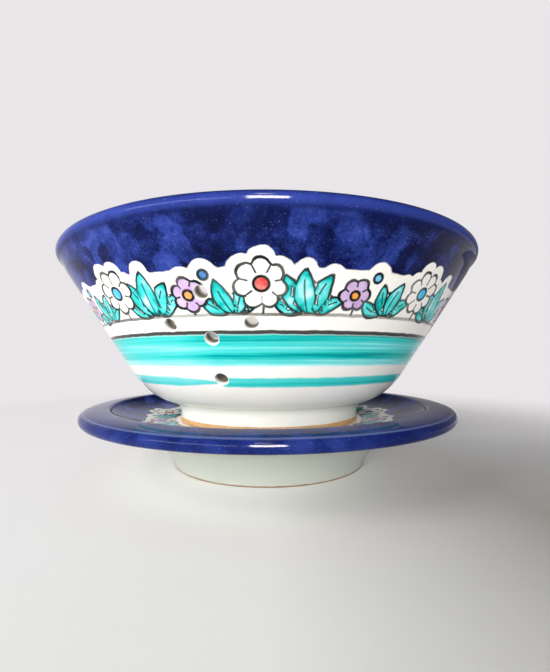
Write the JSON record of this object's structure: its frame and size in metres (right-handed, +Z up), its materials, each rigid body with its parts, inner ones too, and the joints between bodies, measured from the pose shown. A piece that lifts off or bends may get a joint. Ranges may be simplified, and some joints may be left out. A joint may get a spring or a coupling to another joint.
{
  "type": "fruit bowl",
  "caption": "Flaring footed bowl with a rolled rim and drain holes, standing loose on a flat-rimmed drip plate; painted glazed earthenware for rinsing, draining and serving fruit.",
  "frame": {"origin": "on the table, under the middle of the plate's foot ring", "axes": "+Z up along the axis that both pieces were turned on; -Y is the front, +X to the right"},
  "size_m": [0.24, 0.24, 0.1193],
  "materials": {
    "plate_glaze": "gloss cobalt blue rim on white tin glaze",
    "bowl_glaze": "gloss white tin glaze with cobalt and turquoise brush bands"
  },
  "bodies": {
    "drip_plate": {"drip_plate": "plate_glaze"},
    "bowl": {"bowl": "bowl_glaze"}
  },
  "joints": [
    {"name": "bowl_lift", "type": "slide", "parent": "drip_plate", "child": "bowl", "axis": [0, 0, 1], "range_m": [0, 0.1]}
  ]
}
